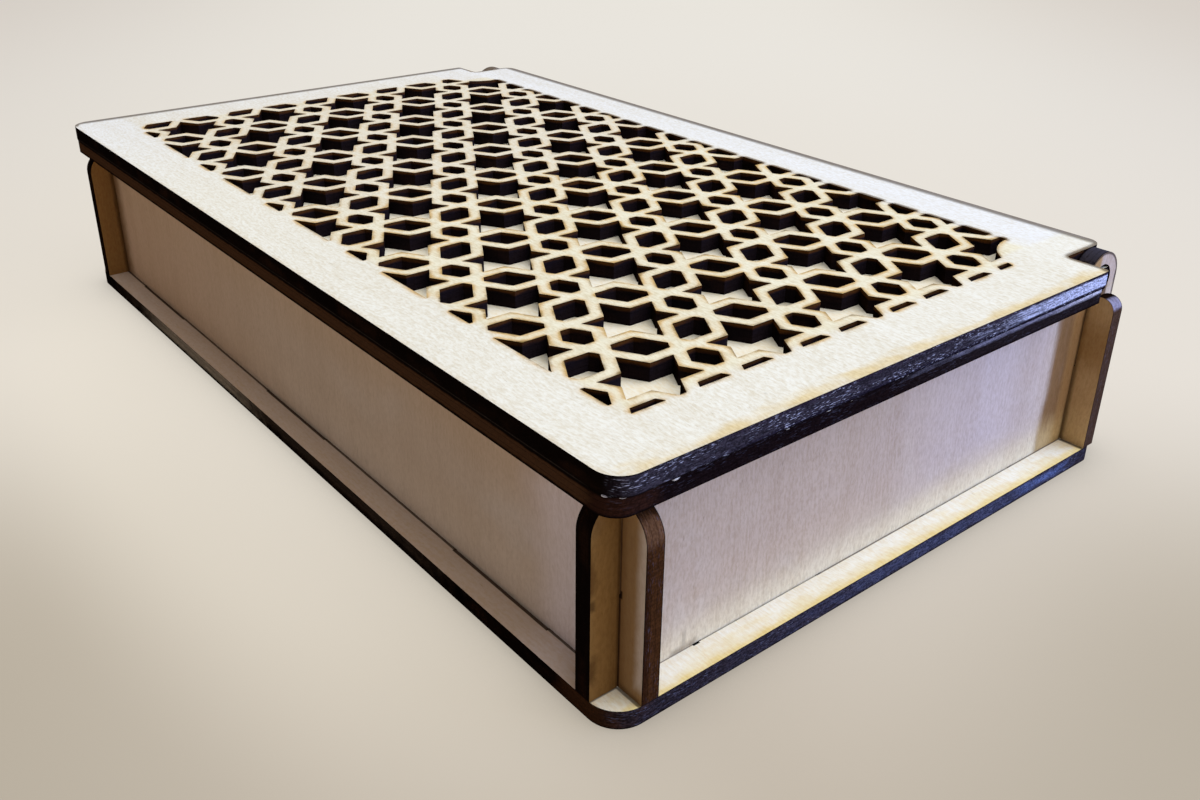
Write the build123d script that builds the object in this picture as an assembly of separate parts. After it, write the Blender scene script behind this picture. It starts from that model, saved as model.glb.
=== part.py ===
# Dice box with a hinged lid, cut from 3 mm plywood sheet.
#
# Five sheets make the box: a base plate and four walls that cross-lap at the
# corners, so that each wall ends in a fin past the one it crosses. Two sheets
# make the lid: a plain panel below and a pierced lattice plate glued on top.
# Tongues on the panel turn in round ears at the back of the two side walls.
#
# Frame: millimetres, +X along the long side, +Y towards the hinge, +Z up,
# origin at the bottom centre of the box with its lid.
from build123d import *
from math import cos, hypot, radians, tan
import os

# --- Sheet and fits -----------------------------------------------------
sheet = 3.0                # thickness of every piece
fit_gap = 0.1              # room left beside a lap, a tab or a lid shoulder
running_gap = 0.09         # room all round the hinge tongues in their holes

# --- Base plate ---------------------------------------------------------
base_length = 200.0
base_depth = 115.0
base_front_radius = 5.0
base_rear_radius = 2.0
ledge = 4.8                # base showing past the walls, and length of each fin

# --- Walls --------------------------------------------------------------
wall_height = 30.0
finger_drop = 0.9          # fins of the long walls end this far below the lid
back_fin_radius = 2.3      # both top corners of the fins on the back wall
front_fin_radius = 4.6     # outer top corner of every fin at the front
tab_length = 24.0
long_tab_count = 3
side_tab_count = 2
tab_inset = 20.0           # from the edge of the base to the first tab
slot_play = 1.2            # each slot is this much longer than its tab, at each end

# --- Hinge --------------------------------------------------------------
pivot_rise = 1.0           # hinge axis above the top of the walls
tongue_width = 3.8
tongue_short = 0.1         # tongue end inside the outer face of its ear
ear_rim = 2.25             # wood left round the hinge hole

# --- Lid ----------------------------------------------------------------
lid_end_overhang = 0.0     # past each end of the base
lid_front_overhang = 0.5
lid_rear_overhang = 4.5
lid_front_radius = 4.0
lid_rear_radius = 2.5
panel_inset = 0.5          # panel edge back from the lattice plate's ends and notches
panel_front_inset = 0.1    # the same along the front
notch_depth = 11.9         # from the rear edge of the lid to the front of the notch
notch_gap = 0.25           # lattice plate clear of the ear
notch_radius = 0.8

# --- Lattice ------------------------------------------------------------
rim_ends = 11.4            # solid wood round the pierced area
rim_front = 11.25
rim_rear = 12.3
notch_rim = 11.5           # the same round the inner corner of each notch
cell_width = 16.14         # from one column of stars to the next, along X
cell_depth = 20.33         # from one star to the next in its column, along Y
strap_width = 2.05
strap_angle = 30.8         # slope of the slanted straps, degrees from X
star_reach = 7.5           # centre of a star to its points on X
star_waist = 3.1           # centre of a star to its straight sides
bead_half_width = 2.9
bead_half_depth = 2.65
pattern_x = 1.5            # one column of the pattern, to the right of the lid's middle
pattern_y = 61.8           # a bead of that column, from the front edge of the lid
smallest_hole = 0.8        # square millimetres; a smaller piece of a cell stays solid

# --- Levels and places that follow --------------------------------------
wall_base = sheet
wall_top = wall_base + wall_height
panel_top = wall_top + sheet
pivot_height = wall_height + pivot_rise      # hinge axis above the foot of the walls
tongue_reach = max(pivot_rise, sheet - pivot_rise)
hole_radius = hypot(tongue_width / 2, tongue_reach) + running_gap
ear_radius = hole_radius + ear_rim

overall_depth = lid_front_overhang + base_depth + max(ear_radius, lid_rear_overhang)
base_front = lid_front_overhang - overall_depth / 2
base_rear = base_front + base_depth
pivot_y = base_rear
front_wall_y = base_front + ledge            # outer face of the front wall
side_wall_x = base_length / 2 - ledge        # outer face of a side wall
slot_width = sheet + 2 * fit_gap
lap_height = wall_height / 2

lid_length = base_length + 2 * lid_end_overhang
lid_front = base_front - lid_front_overhang
lid_rear = base_rear + lid_rear_overhang
notch_front = lid_rear - notch_depth


def rectangle(x_low, x_high, y_low, y_high):
    """A flat rectangle between two corners."""
    width = x_high - x_low
    depth = y_high - y_low
    return Pos((x_low + x_high) / 2, (y_low + y_high) / 2) * Rectangle(width, depth)


def round_corners(outline, radius, corners):
    """Round the corners of a flat outline that lie at the given points."""
    chosen = [
        vertex
        for vertex in outline.vertices()
        if any(hypot(vertex.X - x, vertex.Y - y) < 1e-4 for x, y in corners)
    ]
    return fillet(chosen, radius)


def even_places(low, high, length, count):
    """Middles of pieces of one length, spread evenly between two ends."""
    first = low + length / 2
    step = (high - low - length) / max(count - 1, 1)
    return [first + step * number for number in range(count)]


def long_tab_places():
    """X of the tabs under the front and back walls."""
    reach = base_length / 2 - tab_inset
    return even_places(-reach, reach, tab_length, long_tab_count)


def side_tab_places():
    """Y of the tabs under the two side walls."""
    low = base_front + tab_inset
    high = base_rear - tab_inset
    return even_places(low, high, tab_length, side_tab_count)


def tabs(places):
    """Tabs that hang below a wall's lower edge, in the wall's own plane."""
    half = tab_length / 2
    return [rectangle(place - half, place + half, -sheet, 0) for place in places]


def make_base_plate():
    """Rounded plate with a slot for each tab, open at the rear edge."""
    half = base_length / 2
    plate = rectangle(-half, half, base_front, base_rear)
    plate = round_corners(plate, base_front_radius, [(-half, base_front), (half, base_front)])
    plate = round_corners(plate, base_rear_radius, [(-half, base_rear), (half, base_rear)])
    slots = []
    reach = tab_length / 2 + slot_play
    for place in long_tab_places():
        low, high = place - reach, place + reach
        inner = front_wall_y + sheet + fit_gap
        slots.append(rectangle(low, high, front_wall_y - fit_gap, inner))
        slots.append(rectangle(low, high, base_rear - sheet - fit_gap, base_rear + sheet))
    for place in side_tab_places():
        for side in (-1, 1):
            middle = side * (side_wall_x - sheet / 2)
            near, far = middle - slot_width / 2, middle + slot_width / 2
            slots.append(rectangle(near, far, place - reach, place + reach))
    return extrude(plate - slots, sheet)


def long_wall_outline(fin_radius, inner_corners_too):
    """Wall along X: slots from the top for the side walls leave a fin at each end."""
    half = base_length / 2
    fin_top = wall_height - finger_drop
    tip_room = ledge - fit_gap
    outline = rectangle(-half, half, 0, wall_height)
    fin_corners = []
    for side in (-1, 1):
        inner = side * (side_wall_x - sheet - fit_gap)
        root = side * (side_wall_x + fit_gap)
        tip = side * half
        low, high = sorted((inner, root))
        outline -= rectangle(low, high, lap_height - fit_gap, wall_height + sheet)
        low, high = sorted((root, tip))
        outline -= rectangle(low, high, fin_top, wall_height + sheet)
        fin_corners.append((tip, fin_top))
        if inner_corners_too:
            fin_corners.append((root, fin_top))
    room = tip_room / 2 if inner_corners_too else tip_room
    radius = min(fin_radius, 0.98 * room)
    outline = round_corners(outline, radius, fin_corners)
    return outline + tabs(long_tab_places())


def side_wall_outline():
    """Wall along Y: slots from below for the long walls, and the hinge ear at the back."""
    outline = rectangle(base_front, pivot_y, 0, wall_height)
    outline = round_corners(outline, front_fin_radius, [(base_front, wall_height)])
    outline += rectangle(pivot_y - sheet, pivot_y + ear_radius, 0, wall_height)
    outline += rectangle(pivot_y, pivot_y + ear_radius, 0, pivot_height)
    outline += Pos(pivot_y, pivot_height) * Circle(ear_radius)
    outline -= Pos(pivot_y, pivot_height) * Circle(hole_radius)
    for outer_face in (front_wall_y, base_rear - sheet):
        low, high = outer_face - fit_gap, outer_face + sheet + fit_gap
        outline -= rectangle(low, high, -sheet, lap_height + fit_gap)
    return outline + tabs(side_tab_places())


def make_front_wall():
    """Front wall, with fins rounded at their outer corners."""
    plane = Plane(origin=(0, front_wall_y + sheet, wall_base), x_dir=(1, 0, 0), z_dir=(0, -1, 0))
    return extrude(plane * long_wall_outline(front_fin_radius, False), sheet)


def make_back_wall():
    """Back wall, with fins rounded at both top corners, so that the tongues clear them."""
    plane = Plane(origin=(0, base_rear, wall_base), x_dir=(1, 0, 0), z_dir=(0, -1, 0))
    return extrude(plane * long_wall_outline(back_fin_radius, True), sheet)


def make_side_wall(left_face):
    """Side wall with its left face at the given X."""
    plane = Plane(origin=(left_face, 0, wall_base), x_dir=(0, 1, 0), z_dir=(1, 0, 0))
    return extrude(plane * side_wall_outline(), sheet)


def make_lid_panel():
    """Plain sheet that rests on the walls and carries a tongue in each ear."""
    half = lid_length / 2 - panel_inset
    shoulder = side_wall_x - sheet - fit_gap
    front = lid_front + panel_front_inset
    wing_rear = notch_front - panel_inset
    panel = rectangle(-half, half, front, wing_rear)
    panel = round_corners(panel, lid_front_radius - panel_inset, [(-half, front), (half, front)])
    panel += rectangle(-shoulder, shoulder, front + lid_front_radius, pivot_y)
    tongue_end = side_wall_x - tongue_short
    for side in (-1, 1):
        low, high = sorted((side * shoulder, side * tongue_end))
        panel += rectangle(low, high, pivot_y - tongue_width / 2, pivot_y + tongue_width / 2)
    return extrude(Pos(0, 0, wall_top) * panel, sheet)


def lattice_plate_outline():
    """Lid outline with a notch round each ear."""
    half = lid_length / 2
    inner = side_wall_x - sheet - notch_gap
    outline = rectangle(-half, half, lid_front, lid_rear)
    for side in (-1, 1):
        low, high = sorted((side * inner, side * (half + sheet)))
        outline -= rectangle(low, high, notch_front, lid_rear + sheet)
    sides = (-1, 1)
    outline = round_corners(outline, lid_front_radius, [(side * half, lid_front) for side in sides])
    outline = round_corners(outline, lid_rear_radius, [(side * inner, lid_rear) for side in sides])
    small = [(side * inner, notch_front) for side in sides]
    small += [(side * half, notch_front) for side in sides]
    return round_corners(outline, notch_radius, small)


def lattice_field():
    """The pierced area: a rectangle that keeps solid wood round each notch."""
    reach = lid_length / 2 - rim_ends
    field = rectangle(-reach, reach, lid_front + rim_front, lid_rear - rim_rear)
    inner = side_wall_x - sheet - notch_gap
    for side in (-1, 1):
        field -= Pos(side * inner, notch_front) * Circle(notch_rim)
    return field


def mirrored_ring(quarter):
    """Close a ring from the points of its first quarter, one on X and one on Y."""
    top = quarter + [(-x, y) for x, y in reversed(quarter) if x > 0]
    bottom = [(x, -y) for x, y in reversed(top) if y > 0]
    return top + bottom


def star_points():
    """Six-pointed star with straight sides along Y."""
    slope = tan(radians(strap_angle))
    rise = strap_width / cos(radians(strap_angle))
    dip = cell_depth / 2 - bead_half_depth - rise
    return mirrored_ring(
        [
            (star_reach, 0),
            (star_waist, (star_reach - star_waist) * slope),
            (star_waist, dip + star_waist * slope),
            (0, dip),
        ]
    )


def bead_points():
    """Small hexagon between two stars of one column."""
    slope = tan(radians(strap_angle))
    side = bead_half_depth - bead_half_width * slope
    return mirrored_ring([(bead_half_width, side), (0, bead_half_depth)])


def leaf_points(lean):
    """Long hexagon between neighbouring columns; lean is 1 to the right, -1 to the left."""
    slope = tan(radians(strap_angle))
    rise = strap_width / cos(radians(strap_angle))
    dip = cell_depth / 2 - bead_half_depth - rise
    half_width = cell_width / 2 - star_waist - strap_width
    # Heights of the long and the short slanted side where they cross the leaf's middle line.
    long_side = cell_depth / 4 - rise - (star_reach - cell_width / 2) * slope
    short_side = dip + cell_width / 2 * slope - cell_depth / 4
    tip_x = (short_side - long_side) / (2 * slope)
    tip_y = (short_side + long_side) / 2
    half_ring = [
        (half_width, half_width * slope - long_side),
        (half_width, short_side - half_width * slope),
        (tip_x, tip_y),
    ]
    ring = half_ring + [(-x, -y) for x, y in half_ring]
    return [(lean * x, y) for x, y in ring]


def lattice_cells():
    """Centre and outline of every whole cell of a pattern larger than the lid."""
    columns = int(lid_length / cell_width)
    rows = int((lid_rear - lid_front) / cell_depth) + 1
    star, bead = star_points(), bead_points()
    leaves = (leaf_points(-1), leaf_points(1))
    cells = []
    for column in range(-columns, columns + 1):
        x = pattern_x + column * cell_width
        shift = (column % 2) * cell_depth / 2
        for row in range(-rows, rows + 1):
            y = lid_front + pattern_y + row * cell_depth + shift
            cells.append((x, y, bead))
            cells.append((x, y + cell_depth / 2, star))
            for step in (0, 1):
                leaf_y = y + (step + 0.5) * cell_depth / 2
                cells.append((x - cell_width / 2, leaf_y, leaves[step]))
    return cells


def lattice_holes():
    """Outlines of the holes, each cell cut off where it leaves the pierced area."""
    field = lattice_field()
    bounds = field.bounding_box()
    reach = max(star_reach, cell_depth / 2)
    holes = []
    for x, y, points in lattice_cells():
        outside_x = max(bounds.min.X - x, x - bounds.max.X)
        outside_y = max(bounds.min.Y - y, y - bounds.max.Y)
        if max(outside_x, outside_y) > reach:
            continue
        cell = Face(Wire.make_polygon([(x + dx, y + dy) for dx, dy in points]))
        kept = field.intersect(cell)
        if kept:
            holes += [face for face in kept.faces() if face.area > smallest_hole]
    return holes


def make_lid_lattice():
    """Lattice plate: the outline pierced by every hole of the pattern."""
    outline = lattice_plate_outline()
    pierced = Face(outline.face().outer_wire(), [hole.outer_wire() for hole in lattice_holes()])
    return extrude(Pos(0, 0, panel_top) * pierced, sheet)


def build_pieces():
    """Every piece by its name."""
    return {
        "base_plate": make_base_plate(),
        "front_wall": make_front_wall(),
        "back_wall": make_back_wall(),
        "left_wall": make_side_wall(-side_wall_x),
        "right_wall": make_side_wall(side_wall_x - sheet),
        "lid_panel": make_lid_panel(),
        "lid_lattice": make_lid_lattice(),
    }


def main():
    """Write one STEP file for each piece."""
    os.makedirs("parts", exist_ok=True)
    for name, piece in build_pieces().items():
        export_step(piece, f"parts/{name}.step")


main()
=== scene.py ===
"""Dice box with a hinged lattice lid: the looks of its seven plywood sheets, its light and its camera."""

import logging
import math
import random
from dataclasses import dataclass
from enum import Enum

import bmesh
import bpy
from mathutils import Matrix, Vector


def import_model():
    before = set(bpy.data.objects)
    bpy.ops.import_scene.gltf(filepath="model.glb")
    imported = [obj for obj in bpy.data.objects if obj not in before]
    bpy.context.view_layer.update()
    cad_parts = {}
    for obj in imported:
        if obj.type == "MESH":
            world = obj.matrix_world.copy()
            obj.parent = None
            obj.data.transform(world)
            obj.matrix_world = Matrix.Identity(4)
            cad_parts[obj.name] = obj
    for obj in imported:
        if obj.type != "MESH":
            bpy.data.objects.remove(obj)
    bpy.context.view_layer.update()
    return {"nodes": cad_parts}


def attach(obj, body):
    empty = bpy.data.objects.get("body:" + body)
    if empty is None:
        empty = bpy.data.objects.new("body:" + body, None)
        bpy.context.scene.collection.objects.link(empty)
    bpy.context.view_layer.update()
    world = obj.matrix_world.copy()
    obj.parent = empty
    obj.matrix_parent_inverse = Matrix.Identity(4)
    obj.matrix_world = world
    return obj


log = logging.getLogger("dice_box")

Colour = tuple[float, float, float]
Point = tuple[float, float, float]

MM = 0.001  # one millimetre, in metres
RELIEF = 0.06 * MM  # how deep the grain and the soot are
ON_EDGE = 0.6  # below this share of the normal along the thickness, the surface is a cut edge
# The shine on edges that face along +X is a painted sheen in the edges' colour.
TURNED_AWAY, TURNED_RIGHT = 0.25, 0.9  # the normal's share along +X where an edge starts to shine, and shines
SCORCHED = 0.26  # how dark scorched wood is beside its amber
COLOUR_A, COLOUR_B, COLOUR_OUT = 6, 7, 2  # where the Mix node's colours are among its inputs and outputs
NUMBER_A, NUMBER_B, NUMBER_OUT = 2, 3, 0  # where its numbers are


class Facing(Enum):
    """The axis that a sheet's thickness lies along."""

    SIDE = 0
    FRONT = 1
    UP = 2


class Grain(Enum):
    """The way that a face's grain runs, as the turn that brings it onto X."""

    ALONG_X = (0.0, 0.0, 0.0)
    ALONG_Y = (0.0, 0.0, math.radians(-90))
    UPRIGHT = (0.0, math.radians(90), 0.0)


def srgb(red: float, green: float, blue: float) -> Colour:
    """A colour given in 0 to 255 screen values, as the linear values that a shader takes."""
    shares = [v / 255 for v in (red, green, blue)]
    return tuple(s / 12.92 if s <= 0.04045 else ((s + 0.055) / 1.055) ** 2.4 for s in shares)


class Graph:
    """Adds nodes to one node tree and joins them up."""

    def __init__(self, tree: bpy.types.NodeTree) -> None:
        """Starts on a tree.

        Args:
            tree: the material's or group's node tree.
        """
        self.tree = tree

    def feed(self, socket: bpy.types.NodeSocket, value: object) -> None:
        """Links a socket to another one, or sets its value.

        Args:
            socket: the input to fill.
            value: an output socket, or a number, colour or vector.
        """
        if isinstance(value, bpy.types.NodeSocket):
            self.tree.links.new(value, socket)
        elif socket.type == "RGBA" and len(value) == 3:
            socket.default_value = (*value, 1.0)
        else:
            socket.default_value = value

    def add(self, kind: str, inputs: dict | None = None, **settings: object) -> bpy.types.Node:
        """Adds a node.

        Args:
            kind: the node's type name.
            inputs: its inputs by name or number, each with a socket or a value.
            settings: the node's own properties.

        Returns:
            The new node.
        """
        node = self.tree.nodes.new(kind)
        for name, value in settings.items():
            setattr(node, name, value)
        for name, value in (inputs or {}).items():
            self.feed(node.inputs[name], value)
        return node

    def math(self, operation: str, *values: object, clamp: bool = False) -> bpy.types.NodeSocket:
        """Works out a number.

        Args:
            operation: the name of the sum.
            values: its numbers or sockets, in order.
            clamp: keeps the result from 0 to 1.

        Returns:
            The result's socket.
        """
        node = self.add("ShaderNodeMath", dict(enumerate(values)), operation=operation)
        node.use_clamp = clamp
        return node.outputs[0]

    def vector(self, operation: str, *values: object) -> bpy.types.NodeSocket:
        """Works out a vector, and returns its socket."""
        node = self.add("ShaderNodeVectorMath", dict(enumerate(values)), operation=operation)
        return node.outputs["Value" if operation in ("LENGTH", "DOT_PRODUCT") else "Vector"]

    def scale(self, vector: object, by: object) -> bpy.types.NodeSocket:
        """Lengthens a vector, or brightens a colour, and returns the result's socket."""
        return self.add("ShaderNodeVectorMath", {0: vector, "Scale": by}, operation="SCALE").outputs["Vector"]

    def split(self, vector: object) -> bpy.types.NodeOutputs:
        """The X, Y and Z of a vector."""
        return self.add("ShaderNodeSeparateXYZ", {0: vector}).outputs

    def blend(self, share: object, first: object, second: object) -> bpy.types.NodeSocket:
        """Mixes two colours.

        Args:
            share: how much of the second colour, from 0 to 1.
            first: the colour at 0.
            second: the colour at 1.

        Returns:
            The mixed colour's socket.
        """
        ins = {0: share, COLOUR_A: first, COLOUR_B: second}
        return self.add("ShaderNodeMix", ins, data_type="RGBA").outputs[COLOUR_OUT]

    def shade(self, share: object, colour: object, factor: object) -> bpy.types.NodeSocket:
        """Multiplies a colour by another one.

        Args:
            share: how much of the product shows, from 0 to 1.
            colour: the colour.
            factor: what it is multiplied by.

        Returns:
            The shaded colour's socket.
        """
        ins = {0: share, COLOUR_A: colour, COLOUR_B: factor}
        return self.add("ShaderNodeMix", ins, data_type="RGBA", blend_type="MULTIPLY").outputs[COLOUR_OUT]

    def lerp(self, share: object, first: object, second: object) -> bpy.types.NodeSocket:
        """Mixes two numbers, as blend does with colours, and returns the socket."""
        ins = {0: share, NUMBER_A: first, NUMBER_B: second}
        return self.add("ShaderNodeMix", ins, data_type="FLOAT").outputs[NUMBER_OUT]

    def ramp(
        self, value: object, low: float, high: float, start: float = 0.0, end: float = 1.0
    ) -> bpy.types.NodeSocket:
        """A smooth step.

        Args:
            value: what is stepped.
            low: the value at which the step starts.
            high: the value at which it ends.
            start: the result below the step.
            end: the result above it.

        Returns:
            The result's socket.
        """
        if low > high:
            low, high, start, end = high, low, end, start
        ins = {"Value": value, "From Min": low, "From Max": high, "To Min": start, "To Max": end}
        return self.add("ShaderNodeMapRange", ins, interpolation_type="SMOOTHSTEP").outputs["Result"]

    def noise(
        self, place: object, size: Point, detail: float = 2.0, roughness: float = 0.5
    ) -> bpy.types.NodeSocket:
        """Cloudy noise.

        Args:
            place: the position, in millimetres.
            size: how large its features are along X, Y and Z, in millimetres.
            detail: its octaves.
            roughness: how strong the finer octaves are.

        Returns:
            The noise's socket, from 0 to 1 about a middle of 0.5.
        """
        scaled = self.vector("MULTIPLY", place, tuple(1 / s for s in size))
        ins = {"Vector": scaled, "Scale": 1.0, "Detail": detail, "Roughness": roughness}
        return self.add("ShaderNodeTexNoise", ins).outputs["Fac"]

    def finish(self, shader: bpy.types.NodeSocket, kind: str = "ShaderNodeOutputMaterial") -> None:
        """Links a shader to the surface of a new output."""
        self.add(kind, {"Surface": shader})


def blank_material(name: str) -> tuple[bpy.types.Material, Graph]:
    """Makes a material without nodes.

    Args:
        name: its name.

    Returns:
        The material, and the graph that adds nodes to it.
    """
    made = bpy.data.materials.new(name)
    made.use_nodes = True
    made.node_tree.nodes.clear()
    return made, Graph(made.node_tree)


def put_in_scene(name: str, data: bpy.types.ID) -> bpy.types.Object:
    """Makes an object of a mesh, a lamp or a camera.

    Args:
        name: its name.
        data: what it shows.

    Returns:
        The object, in the scene.
    """
    made = bpy.data.objects.new(name, data)
    bpy.context.scene.collection.objects.link(made)
    return made


class SharedGroup:
    """A shader node group that is made once and placed in each material."""

    name = ""
    inputs: dict[str, str] = {}
    outputs: dict[str, str] = {}

    def tree(self) -> bpy.types.NodeTree:
        """The group's tree, made the first time it is asked for.

        Returns:
            The node group.
        """
        found = bpy.data.node_groups.get(self.name)
        if found:
            return found
        made = bpy.data.node_groups.new(self.name, "ShaderNodeTree")
        for name, kind in self.inputs.items():
            made.interface.new_socket(name, in_out="INPUT", socket_type=kind)
        for name, kind in self.outputs.items():
            made.interface.new_socket(name, in_out="OUTPUT", socket_type=kind)
        graph = Graph(made)
        source = graph.add("NodeGroupInput").outputs
        sink = graph.add("NodeGroupOutput").inputs
        for name, socket in self.wire(graph, source).items():
            graph.feed(sink[name], socket)
        return made

    def wire(self, graph: Graph, source: bpy.types.NodeOutputs) -> dict[str, bpy.types.NodeSocket]:
        """Builds the inside of the group.

        Args:
            graph: the group's own graph.
            source: the group's inputs.

        Returns:
            The socket for each output's name.
        """
        raise NotImplementedError

    def place(self, graph: Graph, **values: object) -> bpy.types.NodeOutputs:
        """Places the group in a material.

        Args:
            graph: the material's graph.
            values: its inputs by name, with _ for a space.

        Returns:
            The placed group's outputs.
        """
        ins = {name.replace("_", " "): value for name, value in values.items()}
        return graph.add("ShaderNodeGroup", ins, node_tree=self.tree()).outputs


class BirchGrain(SharedGroup):
    """Grain of rotary-cut birch: long streaks, wide bands, short dark flecks and soft clouds."""

    name = "birch_grain"
    inputs = {"Place": "NodeSocketVector"}
    outputs = {
        "Streak": "NodeSocketFloat",
        "Band": "NodeSocketFloat",
        "Fleck": "NodeSocketFloat",
        "Cloud": "NodeSocketFloat",
        "Mottle": "NodeSocketFloat",
        "Height": "NodeSocketFloat",
    }

    def wire(self, graph: Graph, source: bpy.types.NodeOutputs) -> dict[str, bpy.types.NodeSocket]:
        """Builds the grain, which runs along X.

        Args:
            graph: the group's own graph.
            source: the group's inputs.

        Returns:
            The socket for each output's name.
        """
        place = source["Place"]
        sway = graph.noise(place, (60, 25, 25), 1.0)
        shift = graph.math("MULTIPLY_ADD", sway, 9.0, -4.5)
        across = graph.add("ShaderNodeCombineXYZ", {"Y": shift, "Z": shift}).outputs[0]
        bent = graph.vector("ADD", place, across)
        streak = graph.noise(bent, (16, 0.42, 0.42), 3.0, 0.6)
        band = graph.noise(bent, (110, 5.5, 5.5), 3.0, 0.55)
        spots = graph.noise(bent, (1.6, 0.2, 0.2), 1.0)
        thin = graph.noise(place, (7, 3, 3), 1.0)
        fleck = graph.math("MULTIPLY", graph.ramp(spots, 0.66, 0.76), graph.ramp(thin, 0.45, 0.65))
        fibre = graph.noise(bent, (2.2, 0.13, 0.13), 2.0, 0.6)
        raised = graph.math("MULTIPLY_ADD", streak, 0.6, graph.math("MULTIPLY", fibre, 0.5))
        height = graph.math("MULTIPLY_ADD", fleck, -0.5, raised)
        cloud = graph.noise(place, (26, 18, 18), 2.0)
        mottle = graph.noise(bent, (1.1, 0.42, 0.42), 2.0, 0.7)
        marks = {"Streak": streak, "Band": band, "Fleck": fleck, "Cloud": cloud, "Mottle": mottle}
        return marks | {"Height": height}


class CharredEdge(SharedGroup):
    """A laser-cut edge: soot over three plies, fine lines left by the beam, and glinting specks of ash."""

    name = "charred_edge"
    inputs = {"Place": "NodeSocketVector", "Depth": "NodeSocketFloat"}
    outputs = {
        "Thin Soot": "NodeSocketFloat",
        "Speck": "NodeSocketFloat",
        "Beam": "NodeSocketFloat",
        "Grit": "NodeSocketFloat",
        "Glue": "NodeSocketFloat",
        "Height": "NodeSocketFloat",
    }

    def wire(self, graph: Graph, source: bpy.types.NodeOutputs) -> dict[str, bpy.types.NodeSocket]:
        """Builds the edge from a place whose Z runs through the sheet, and a depth from 0 to 1.

        Args:
            graph: the group's own graph.
            source: the group's inputs.

        Returns:
            The socket for each output's name.
        """
        place, depth = source["Place"], source["Depth"]
        beam = graph.noise(place, (0.28, 0.28, 3.2), 2.0, 0.6)
        drift = graph.noise(place, (7, 7, 4), 2.0)
        ply = graph.math("PINGPONG", graph.math("MULTIPLY", depth, 3.0), 0.5)
        glue = graph.ramp(ply, 0.07, 0.0)
        inner = graph.math("MULTIPLY", graph.ramp(depth, 0.05, 0.30), graph.ramp(depth, 0.95, 0.7))
        thin = graph.math("MULTIPLY", graph.ramp(drift, 0.42, 0.72), graph.math("MULTIPLY", inner, beam))
        dash = graph.noise(place, (1.1, 1.1, 0.16), 2.0, 0.6)
        where = graph.noise(place, (9, 9, 1.5), 1.0)
        speck = graph.math("MULTIPLY", graph.ramp(dash, 0.56, 0.68), graph.ramp(where, 0.36, 0.62))
        drawn = graph.noise(place, (1.4, 1.4, 0.26), 2.0, 0.6)
        fine = graph.noise(place, (0.42, 0.42, 0.26), 1.0)
        grit = graph.math("MULTIPLY_ADD", drawn, 0.5, graph.math("MULTIPLY", fine, 0.5))
        grit = graph.ramp(grit, 0.38, 0.62)
        rough = graph.math("MULTIPLY_ADD", beam, 0.7, graph.math("MULTIPLY", dash, 0.8))
        rough = graph.math("MULTIPLY_ADD", grit, 0.5, rough)
        height = graph.math("MULTIPLY_ADD", glue, -0.7, rough)
        marks = {"Thin Soot": thin, "Speck": speck, "Beam": beam, "Grit": grit, "Glue": glue}
        return marks | {"Height": height}


class BurnHalo(SharedGroup):
    """The amber that a laser leaves on a face beside its cuts."""

    name = "burn_halo"
    inputs = {"Place": "NodeSocketVector", "Openness": "NodeSocketFloat"}
    outputs = {"Amber": "NodeSocketFloat", "Scorch": "NodeSocketFloat"}

    def wire(self, graph: Graph, source: bpy.types.NodeOutputs) -> dict[str, bpy.types.NodeSocket]:
        """Builds the halo from how open the wood is under the face, which falls beside a cut.

        Args:
            graph: the group's own graph.
            source: the group's inputs.

        Returns:
            The socket for each output's name.
        """
        place, openness = source["Place"], source["Openness"]
        patch = graph.noise(place, (5, 5, 5), 2.0)
        other = graph.noise(graph.vector("ADD", place, (37.0, 11.0, 5.0)), (3.4, 3.4, 3.4), 2.0)
        fine = graph.noise(place, (0.6, 0.6, 0.6), 2.0)
        wide = graph.ramp(openness, 0.97, 0.5)
        grainy = graph.math("MULTIPLY_ADD", fine, 0.8, 0.6)
        uneven = graph.math("MULTIPLY_ADD", graph.ramp(patch, 0.34, 0.68), 0.95, 0.3)
        amber = graph.math("MULTIPLY", wide, graph.math("MULTIPLY", uneven, grainy), clamp=True)
        burnt = graph.math("MULTIPLY_ADD", graph.ramp(other, 0.42, 0.64), 0.75, 0.32)
        burnt = graph.math("MULTIPLY", burnt, grainy)
        scorch = graph.math("MULTIPLY", graph.ramp(openness, 0.69, 0.51), burnt, clamp=True)
        return {"Amber": amber, "Scorch": scorch}


BIRCH_GRAIN = BirchGrain()
CHARRED_EDGE = CharredEdge()
BURN_HALO = BurnHalo()


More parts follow.
